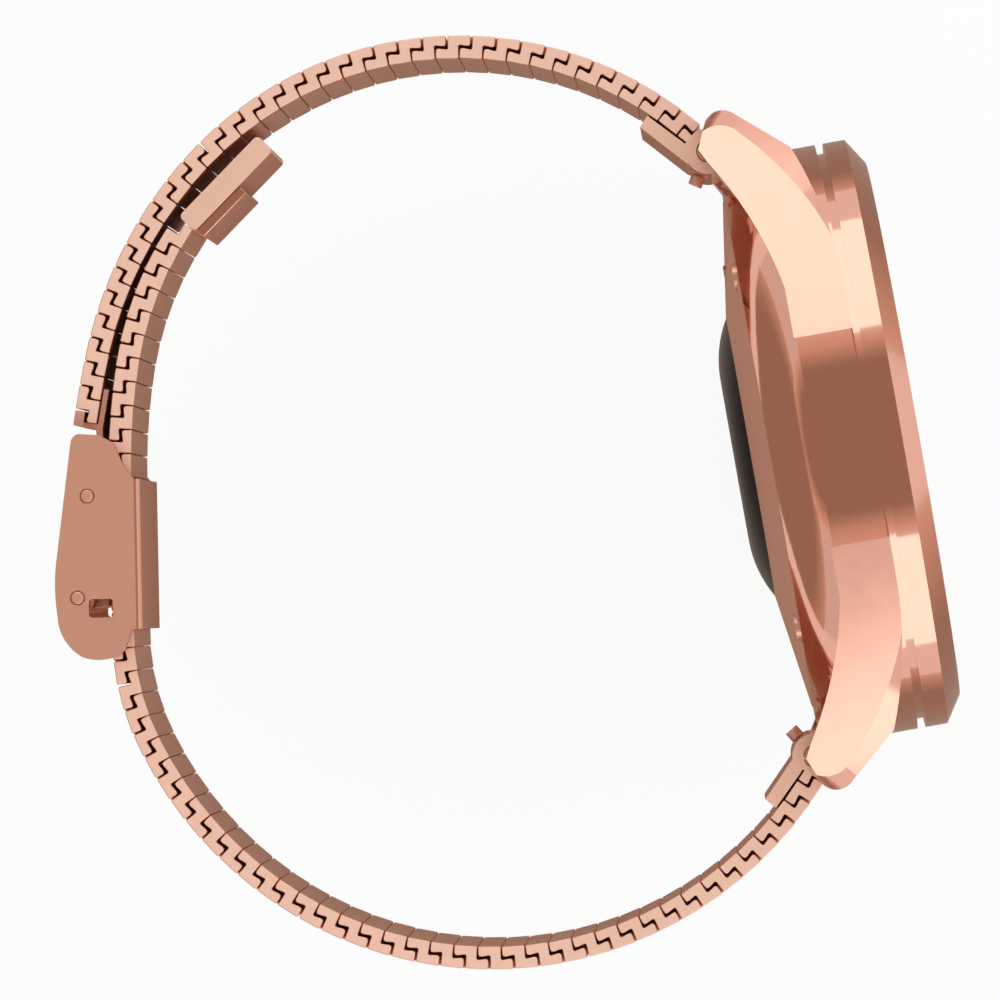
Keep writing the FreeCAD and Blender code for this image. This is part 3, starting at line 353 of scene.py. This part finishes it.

# %% Worn edges and painted shade in the corners
def build_wear_and_crease_shade():
    """Edges rubbed paler, and hollow corners darkened as painted shade, both from the surface's
    curve.
    """
    group, entry, leave = new_group(
        "wear_and_crease_shade",
        [("Color", "Color", (0.8, 0.5, 0.4, 1)), ("Rubbed", "Color", (1, 0.85, 0.75, 1)),
         ("Deep", "Color", (0.1, 0.04, 0.03, 1)), ("Wear", "Float", 0.5), ("Dirt", "Float", 0.5)],
        [("Color", "Color"), ("Edge", "Float")])
    shape = add_node(group, "ShaderNodeNewGeometry")
    edge = add_node(group, "ShaderNodeMapRange", values={"From Min": 0.52, "From Max": 0.62})
    # Painted shade: low pointiness, in hollow corners and creases, mixes in the dark shade colour.
    corner = add_node(group, "ShaderNodeMapRange", values={"From Min": 0.48, "From Max": 0.40})
    rub = add_node(group, "ShaderNodeMath", operation="MULTIPLY")
    crease_shade_share = add_node(group, "ShaderNodeMath", operation="MULTIPLY")
    pale = add_node(group, "ShaderNodeMix", data_type="RGBA")
    dark = add_node(group, "ShaderNodeMix", data_type="RGBA")
    link = group.links.new
    link(shape.outputs["Pointiness"], edge.inputs["Value"])
    link(shape.outputs["Pointiness"], corner.inputs["Value"])
    link(edge.outputs[0], rub.inputs[0])
    link(entry.outputs["Wear"], rub.inputs[1])
    link(corner.outputs[0], crease_shade_share.inputs[0])
    link(entry.outputs["Dirt"], crease_shade_share.inputs[1])
    link(rub.outputs[0], pale.inputs["Factor"])
    link(entry.outputs["Color"], pale.inputs["A"])
    link(entry.outputs["Rubbed"], pale.inputs["B"])
    link(crease_shade_share.outputs[0], dark.inputs["Factor"])
    link(pale.outputs["Result"], dark.inputs["A"])
    link(entry.outputs["Deep"], dark.inputs["B"])
    link(dark.outputs["Result"], leave.inputs["Color"])
    link(edge.outputs[0], leave.inputs["Edge"])
    return group


wear_and_crease_shade = build_wear_and_crease_shade()
print("group", wear_and_crease_shade.name)

# %% [markdown]
# ## The finishes
# Rose-gold plated steel appears in several finishes: mirror polish on the case, fine brush on the
# clasp, the woven wire, milled end pieces and turned pins. The woven wire is a shade darker as
# painted shade, and the band's two sides and the milled end pieces are paler and less metallic as a
# painted highlight. They share one plating and differ in shade, roughness, grain and wear. The
# Principled shader stays in each material, where its values can be read.

# %% One recipe for all the metals
ROSE = linear(230, 170, 150)
ROSE_PALE = linear(252, 214, 196)
# Painted shade: the dark colour mixed into hollow corners.
ROSE_CREASE_SHADE = linear(120, 66, 44)
finishes = {}


def place_group(tree, group, **values):
    """Puts a group in a material and sets its values."""
    node = tree.nodes.new("ShaderNodeGroup")
    node.node_tree = group
    for key, value in values.items():
        node.inputs[key].default_value = value
    return node


def start_material(name):
    """A new finish: its node tree and its Principled shader."""
    material = bpy.data.materials.new(name)
    material.use_nodes = True
    tree = material.node_tree
    shader = tree.nodes["Principled BSDF"]
    finishes[name] = material
    return tree, shader


def rough_range(tree, roughness, spread):
    """A node that turns a mask into a roughness, give or take a spread."""
    return add_node(tree, "ShaderNodeMapRange",
                    values={"To Min": roughness - spread, "To Max": roughness + spread})


def make_metal(name, color, roughness, spread, metallic=1.0, drift=0.05, wear=0.0, crease_shade=0.0,
               stretch=(4000.0, 120.0, 4000.0), depth=0.0):
    """Plated or bare metal: clouded colour, rubbed edges, painted shade in hollow corners, and
    grain in roughness and bump.
    """
    tree, shader = start_material(name)
    link = tree.links.new
    clouds = place_group(tree, plating_clouds, Color=color, Scale=110.0, Drift=drift)
    edges = place_group(tree, wear_and_crease_shade, Rubbed=ROSE_PALE, Deep=ROSE_CREASE_SHADE, Wear=wear, Dirt=crease_shade)
    grain = place_group(tree, brush_grain, Stretch=stretch)
    rough = rough_range(tree, roughness, spread)
    link(clouds.outputs["Color"], edges.inputs["Color"])
    link(edges.outputs["Color"], shader.inputs["Base Color"])
    link(grain.outputs["Mask"], rough.inputs["Value"])
    link(rough.outputs[0], shader.inputs["Roughness"])
    shader.inputs["Metallic"].default_value = metallic
    if depth:
        bump = add_node(tree, "ShaderNodeBump", values={"Strength": 0.35, "Distance": depth * MM})
        link(grain.outputs["Height"], bump.inputs["Height"])
        link(bump.outputs[0], shader.inputs["Normal"])


make_metal("polished_rose", ROSE, 0.075, 0.02, drift=0.03, stretch=(900, 900, 900))
make_metal("satin_rose", linear(240, 184, 160), 0.46, 0.06, metallic=0.8, drift=0.04,
           stretch=(6000, 500, 6000), depth=0.003)
# The woven wire: a shade darker than the case's rose as painted shade for the band's inside, with
# more painted shade in its hollow corners.
make_metal("mesh_rose", linear(214, 154, 128), 0.42, 0.07, drift=0.10, wear=0.5, crease_shade=0.6,
           stretch=(2500, 2500, 700), depth=0.006)
# Painted highlight: the band's two sides take a paler, less metallic copy of the wire's finish.
make_metal("mesh_lit_edge", linear(252, 205, 181), 0.50, 0.07, metallic=0.2, drift=0.12, wear=0.3,
           crease_shade=0.3, stretch=(1500, 1500, 1500), depth=0.004)
# The milled end pieces: the grain along one axis is the milling, and the paler, less metallic
# colour is a painted highlight.
make_metal("milled_lit_rose", linear(250, 206, 182), 0.48, 0.06, metallic=0.35, drift=0.05,
           stretch=(700, 6000, 6000), depth=0.003)
# Painted shade: a darker copy of the clasp's rose for faces toward the wrist.
make_metal("inward_shaded_rose", linear(196, 132, 104), 0.5, 0.06, metallic=0.4, drift=0.05,
           stretch=(6000, 500, 6000), depth=0.003)
make_metal("rose_steel", linear(240, 188, 164), 0.34, 0.05, metallic=0.6, drift=0.05,
           stretch=(700, 700, 6000), depth=0.002)
make_metal("bare_steel", linear(196, 194, 190), 0.30, 0.06, drift=0.05,
           stretch=(5000, 600, 600), depth=0.002)
make_metal("gold_contact", linear(222, 178, 110), 0.22, 0.05, drift=0.05,
           stretch=(5000, 5000, 900), depth=0.001)
print("metals", sorted(finishes))


# %% [markdown]
# ## Plastics, glass and lacquer
# The sensor cover is black polycarbonate with a hard gloss coat, the crystal is clear sapphire,
# and the dial is lacquer with a fine metallic fleck. Moulded plastic gets a shallow spark-eroded
# texture, which is what takes the shine off a real moulding.

# %% Moulded, coated and painted finishes
def build_mould_texture():
    """Shallow pits of a spark-eroded mould."""
    group, entry, leave = new_group("mould_texture", [("Scale", "Float", 2500.0)],
                                    [("Height", "Float"), ("Mask", "Float")])
    place = add_node(group, "ShaderNodeTexCoord")
    cells = add_node(group, "ShaderNodeTexVoronoi", values={"Randomness": 1.0})
    cloud = add_node(group, "ShaderNodeTexNoise", values={"Scale": 300.0, "Detail": 2.0})
    link = group.links.new
    link(place.outputs["Object"], cells.inputs["Vector"])
    link(entry.outputs["Scale"], cells.inputs["Scale"])
    link(place.outputs["Object"], cloud.inputs["Vector"])
    link(cells.outputs["Distance"], leave.inputs["Height"])
    link(cloud.outputs["Fac"], leave.inputs["Mask"])
    return group


mould_texture = build_mould_texture()


def make_plain(name, color, roughness, spread, drift=0.08, coat=0.0, bump_depth=0.004,
               scale=2500.0, metallic=0.0, shine=0.5):
    """Plastic, rubber, lacquer or board: clouded colour over a moulded texture."""
    tree, shader = start_material(name)
    link = tree.links.new
    clouds = place_group(tree, plating_clouds, Color=color, Scale=160.0, Drift=drift)
    mould = place_group(tree, mould_texture, Scale=scale)
    rough = rough_range(tree, roughness, spread)
    bump = add_node(tree, "ShaderNodeBump", values={"Strength": 0.25, "Distance": bump_depth * MM})
    link(clouds.outputs["Color"], shader.inputs["Base Color"])
    link(mould.outputs["Mask"], rough.inputs["Value"])
    link(rough.outputs[0], shader.inputs["Roughness"])
    link(mould.outputs["Height"], bump.inputs["Height"])
    link(bump.outputs[0], shader.inputs["Normal"])
    shader.inputs["Metallic"].default_value = metallic
    shader.inputs["Specular IOR Level"].default_value = shine
    shader.inputs["Coat Weight"].default_value = coat
    shader.inputs["Coat Roughness"].default_value = 0.08


make_plain("sensor_glass", linear(13, 16, 18), 0.24, 0.05, bump_depth=0.0008, shine=0.16)
make_plain("dial_paint", linear(226, 214, 208), 0.42, 0.05, metallic=0.35, bump_depth=0.002,
           scale=6000.0)
make_plain("seal", linear(28, 27, 27), 0.62, 0.08)
make_plain("black_plastic", linear(34, 34, 36), 0.48, 0.08)
make_plain("board_green", linear(22, 74, 52), 0.30, 0.08, coat=0.4)


def make_crystal_glass():
    """Clear sapphire: a thin shell, so light passes with little bending."""
    tree, shader = start_material("clear_glass")
    mould = place_group(tree, mould_texture, Scale=400.0)
    rough = add_node(tree, "ShaderNodeMapRange", values={"To Min": 0.005, "To Max": 0.02})
    tree.links.new(mould.outputs["Mask"], rough.inputs["Value"])
    tree.links.new(rough.outputs[0], shader.inputs["Roughness"])
    shader.inputs["Base Color"].default_value = (0.98, 0.99, 1.0, 1)
    shader.inputs["Transmission Weight"].default_value = 1.0
    shader.inputs["IOR"].default_value = 1.45


make_crystal_glass()
print("finishes", len(finishes))

# %% [markdown]
# ## The working model's own pieces
# Most pieces already have their true shape, so they only need a finish. A sharp solid edge never
# catches the light, though, and the eye misses that on folded and stamped parts. Those few are
# copied, their flat faces are joined back into single faces, and their edges are bevelled. On the
# clasp and end pieces, the faces on the skin side are painted a shade darker as painted shade.

# %% Finish the carried pieces
def dress(node):
    """Give a carried piece the finish that the record names for it."""
    piece = nodes[node]
    piece.data.materials.clear()
    piece.data.materials.append(finishes[slot_of_node[node]])


for node in nodes:
    dress(node)
print("dressed", len(nodes))

# %% Soften the folded and stamped pieces
WRIST = Vector((-20, 0, 0)) * MM  # the middle of the closed band
# Pieces that get the paler milled finish, a painted highlight.
MILLED_LIT = ("end_stop", "upper_end_link", "lower_end_link")
# Pieces whose faces toward the wrist get painted shade.
DARK_INSIDE = ("clasp_body", "end_stop_plate", "end_stop", "upper_end_link", "lower_end_link")
INWARD = 0.7  # least share of a face's direction that points at the wrist
SHARP_FOLD = math.radians(34)
FLAT_ENOUGH = math.radians(0.5)
WELD_REACH = 0.001 * MM
SOFT_EDGE = {
    "clasp_body": 0.10, "clasp_lid": 0.08, "end_stop": 0.05, "end_stop_plate": 0.10,
    "upper_end_link": 0.08, "lower_end_link": 0.08, "hook_tongue": 0.06, "hook_pin": 0.05,
    "lid_pin": 0.05, "lock_cam": 0.05, "upper_quick_release": 0.06, "lower_quick_release": 0.06,
}


def soften(node, width):
    """A copy of a piece with clean flat faces and small bevels, in place of the sharp one."""
    form = bmesh.new()
    form.from_mesh(nodes[node].data)
    form.transform(nodes[node].matrix_world)
    bmesh.ops.remove_doubles(form, verts=form.verts, dist=WELD_REACH)
    bmesh.ops.dissolve_limit(form, angle_limit=FLAT_ENOUGH, verts=form.verts, edges=form.edges)
    form.normal_update()
    sharp = [edge for edge in form.edges
             if len(edge.link_faces) == 2 and edge.calc_face_angle(0.0) > SHARP_FOLD]
    bmesh.ops.bevel(form, geom=sharp, offset=width * MM, segments=2, profile=0.5, affect="EDGES",
                    clamp_overlap=True)
    form.normal_update()
    # Painted shade: on these pieces, faces toward the wrist take the darker second finish.
    for face in form.faces:
        inward = (WRIST - face.calc_center_median()).to_2d().normalized().to_3d()
        face.material_index = int(node in DARK_INSIDE and face.normal.dot(inward) > INWARD)
    mesh = bpy.data.meshes.new(f"soft_{node}")
    form.to_mesh(mesh)
    form.free()
    mesh.shade_smooth()
    piece = bpy.data.objects.new(f"soft_{node}", mesh)
    bpy.context.scene.collection.objects.link(piece)
    weighted = piece.modifiers.new("flat_faces_stay_flat", "WEIGHTED_NORMAL")
    weighted.keep_sharp = True
    mesh.materials.append(finishes["milled_lit_rose" if node in MILLED_LIT else slot_of_node[node]])
    if node in DARK_INSIDE:
        mesh.materials.append(finishes["inward_shaded_rose"])
    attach(piece, body_of_node[node])
    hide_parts(node)
    return piece


soft = {node: soften(node, width) for node, width in SOFT_EDGE.items()}
print("softened", {node: len(piece.data.polygons) for node, piece in soft.items()})

# %% [markdown]
# ## The woven band
# Each row of the band is one flattened wire wound into a long coil across the band, and each coil
# threads through the next. Seen on its edge, a turn of the coil is a stepped S. The plain rows in
# the working model say where each row lies; here each becomes a coil of its own, turn by turn, so
# that the light catches every turn. Real turns are modelled, because a bump map has no edge to
# show.

# %% Find where each row lies
SQUARE_ON = 0.5  # faces that agree less than this in direction meet at a corner


def islands(form):
    """The separate solids of a mesh, each as a list of its vertices."""
    left = dict.fromkeys(form.verts)
    while left:
        stack = [left.popitem()[0]]
        island = []
        while stack:
            vertex = stack.pop()
            island.append(vertex)
            for edge in vertex.link_edges:
                other = edge.other_vert(vertex)
                if other in left:
                    del left[other]
                    stack.append(other)
        yield island


def middle(values):
    """Half way between the least and the most."""
    return (min(values) + max(values)) / 2


def is_rim(edge, top):
    """Whether an edge runs round the upper end of a row."""
    if len(edge.link_faces) != 2 or any(abs(v.co.z - top) > WELD_REACH for v in edge.verts):
        return False
    one, other = edge.link_faces
    return abs(one.normal.dot(other.normal)) < SQUARE_ON


def row_place(island):
    """The middle of one row, its way along the band and its way out from the wrist."""
    top = max(v.co.z for v in island)
    edges = dict.fromkeys(e for v in island for e in v.link_edges)
    longest = max((e for e in edges if is_rim(e, top)), key=lambda edge: edge.calc_length())
    along = (longest.verts[1].co - longest.verts[0].co).normalized()
    out = Vector((-along.y, along.x, 0))
    centre = (along * middle([v.co.dot(along) for v in island])
              + out * middle([v.co.dot(out) for v in island]))
    if (centre - WRIST).dot(out) < 0:
        out = -out
    level = centre.dot(out)
    outer = middle([v.co.dot(along) for v in island if v.co.dot(out) > level])
    inner = middle([v.co.dot(along) for v in island if v.co.dot(out) < level])
    if outer > inner:
        along = -along
    return centre, along, out


def rows_of(node):
    """Where each row of a mesh section lies."""
    form = bmesh.new()
    form.from_mesh(nodes[node].data)
    form.transform(nodes[node].matrix_world)
    bmesh.ops.remove_doubles(form, verts=form.verts, dist=WELD_REACH)
    form.normal_update()
    rows = [row_place(island) for island in islands(form)]
    form.free()
    return rows


sections = sorted(node for node in nodes if "_mesh_" in node)
rows = {node: rows_of(node) for node in sections}
print("rows", {node: len(found) for node, found in rows.items()})

# %% [markdown]
# The step from row to row and the width of the band come from the rows themselves, and the
# thickness is given. A turn is then drawn once as an outline seen from the band's edge. Its free
# corners are well rounded, because the wire is rolled flat and polished after weaving, and the gap
# in the middle of the band narrows toward the free end of each turn. Inside the band the outer
# plates reach right up to the next row, so that no light falls through the curved weave.

# %% Sizes of one turn of wire
def row_step():
    """The distance from one row to the next."""
    steps = []
    for found in rows.values():
        centres = [centre for centre, _, _ in found]
        for here in centres:
            steps.append(min((here - other).length for other in centres if other is not here))
    return sorted(steps)[len(steps) // 2]


TURNS = 16
PITCH = row_step()
QUARTER = PITCH / 4
BAND_LOW, BAND_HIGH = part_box(sections[0])
HALF_WIDTH = (BAND_HIGH.z - BAND_LOW.z) / 2
HALF_THICK = 0.8 * MM
HALF_SLIT = 0.045 * MM
NEAR = QUARTER - HALF_SLIT
FAR = 3 * QUARTER - HALF_SLIT
CORE_NARROW = 0.03 * MM
CORE_WIDE = 0.17 * MM
LEAN = 0.8
FACE_ROUND = 0.09 * MM
CORE_ROUND = 0.26 * MM
WEB_ROUND = 0.12 * MM
END_START = 0.1 * MM
CLOSE_FACE = 0.15 * MM
CLOSE_CORE = 0.095 * MM
TURN_GAP = 0.05 * MM
RIM = 0.05 * MM
# Painted highlight: the end faces at both sides of the band take the second, paler finish.
LIT_EDGE = 1  # second finish of a woven piece
print("step from row to row", round(PITCH / MM, 3), "mm, half width", round(HALF_WIDTH / MM, 2))


# %% The outline of one turn
def rounded_outline(corners, steps=2):
    """A closed outline with each corner (x, y, radius) replaced by a short arc."""
    points = []
    for i, (x, y, radius) in enumerate(corners):
        here = Vector((x, y))
        to_last = (Vector(corners[i - 1][:2]) - here).normalized()
        to_next = (Vector(corners[(i + 1) % len(corners)][:2]) - here).normalized()
        start = here + to_last * radius
        end = here + to_next * radius
        for step in range(steps + 1):
            t = step / steps
            points.append(start * (1 - t) ** 2 + here * 2 * t * (1 - t) + end * t ** 2)
    return points


def turn_outline(close_face=0.0, close_core=0.0):
    """An outer and an inner plate, half a step apart, joined through the middle, seen edge-on."""
    return rounded_outline([
        (-FAR - close_face, HALF_THICK, FACE_ROUND), (-FAR - close_core, CORE_NARROW, CORE_ROUND),
        (-NEAR, CORE_WIDE, WEB_ROUND), (-NEAR, -HALF_THICK, WEB_ROUND),
        (FAR, -HALF_THICK, FACE_ROUND), (FAR, -CORE_NARROW, CORE_ROUND),
        (NEAR, -CORE_WIDE, WEB_ROUND), (NEAR, HALF_THICK, WEB_ROUND)])


def end_outline():
    """The inner plate alone: the half turn tucked in between the last row and an end link."""
    return rounded_outline([
        (END_START, -HALF_THICK, WEB_ROUND), (FAR, -HALF_THICK, FACE_ROUND),
        (FAR, -CORE_NARROW, CORE_ROUND), (NEAR, -CORE_WIDE, WEB_ROUND),
        (NEAR, CORE_WIDE, WEB_ROUND), (END_START, CORE_WIDE, WEB_ROUND)])


def shrunk(outline, distance):
    """The outline moved inward by a distance."""
    inner = []
    for i, here in enumerate(outline):
        way = outline[(i + 1) % len(outline)] - outline[i - 1]
        inner.append(here + Vector((-way.y, way.x)).normalized() * distance)
    return inner


TURN = turn_outline()
CLOSED_TURN = turn_outline(CLOSE_FACE, CLOSE_CORE)
END = end_outline()
print("points round one turn", len(TURN), "and round an end", len(END))


# %% Lay the turns of every row
def slant(x, y, reach):
    """How far a point slides across the band: the plates lean opposite ways and meet mid-way."""
    from_web = x + QUARTER if y > 0 else QUARTER - x
    return reach / 4 * (from_web / QUARTER + 1)


def add_turn(form, place, number, outline):
    """One turn of wire in a row: four rings of points across it, closed at both ends."""
    centre, along, out = place
    rim = shrunk(outline, RIM)
    turn_width = 2 * HALF_WIDTH / TURNS
    low = -HALF_WIDTH + number * turn_width + TURN_GAP / 2
    high = low + turn_width - TURN_GAP
    levels = [(low, rim, number > 0), (low + RIM, outline, number > 0),
              (high - RIM, outline, number < TURNS - 1), (high, rim, number < TURNS - 1)]
    rings = []
    for z, points, leans in levels:
        ring = []
        for x, y in points:
            shift = slant(x, y, turn_width * LEAN) if leans else 0.0
            level = max(-HALF_WIDTH, min(HALF_WIDTH, z + shift))
            ring.append(form.verts.new(centre + along * x + out * y + Vector((0, 0, level))))
        rings.append(ring)
    for lower, upper in zip(rings, rings[1:]):
        for i in range(len(lower)):
            form.faces.new((lower[i - 1], lower[i], upper[i], upper[i - 1])).smooth = True
    ends = [form.faces.new(rings[0]), form.faces.new(reversed(rings[-1]))]
    # Painted highlight: the outer end faces of the first and last turn, the band's two sides, take
    # the paler finish.
    if number == 0:
        ends[0].material_index = LIT_EDGE
    if number == TURNS - 1:
        ends[1].material_index = LIT_EDGE


def goes_on(place, others):
    """Whether the section goes on past this row's outer plate."""
    centre, along, _ = place
    return any((centre - along * PITCH - other[0]).length < PITCH / 2 for other in others)


def end_place(node):
    """Where the half turn beside the end link lies."""
    centre, along, out = max(rows[node], key=lambda place: place[0].x)
    return centre - along * PITCH, along, out


def weave(node):
    """The woven piece that stands in for one plain section."""
    form = bmesh.new()
    for place in rows[node]:
        inside = CLOSED_TURN if goes_on(place, rows[node]) else TURN
        for number in range(TURNS):
            add_turn(form, place, number, inside if 0 < number < TURNS - 1 else TURN)
    if node in ("short_mesh_1", "long_mesh_1"):
        for number in range(TURNS):
            add_turn(form, end_place(node), number, END)
    bmesh.ops.recalc_face_normals(form, faces=form.faces)
    mesh = bpy.data.meshes.new(f"woven_{node}")
    form.to_mesh(mesh)
    form.free()
    piece = bpy.data.objects.new(f"woven_{node}", mesh)
    bpy.context.scene.collection.objects.link(piece)
    mesh.materials.append(finishes["mesh_rose"])
    mesh.materials.append(finishes["mesh_lit_edge"])
    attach(piece, body_of_node[node])
    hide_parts(node)
    return piece


woven = {node: weave(node) for node in sections}
print("turns", sum(len(found) for found in rows.values()) * TURNS,
      "faces", sum(len(piece.data.polygons) for piece in woven.values()))
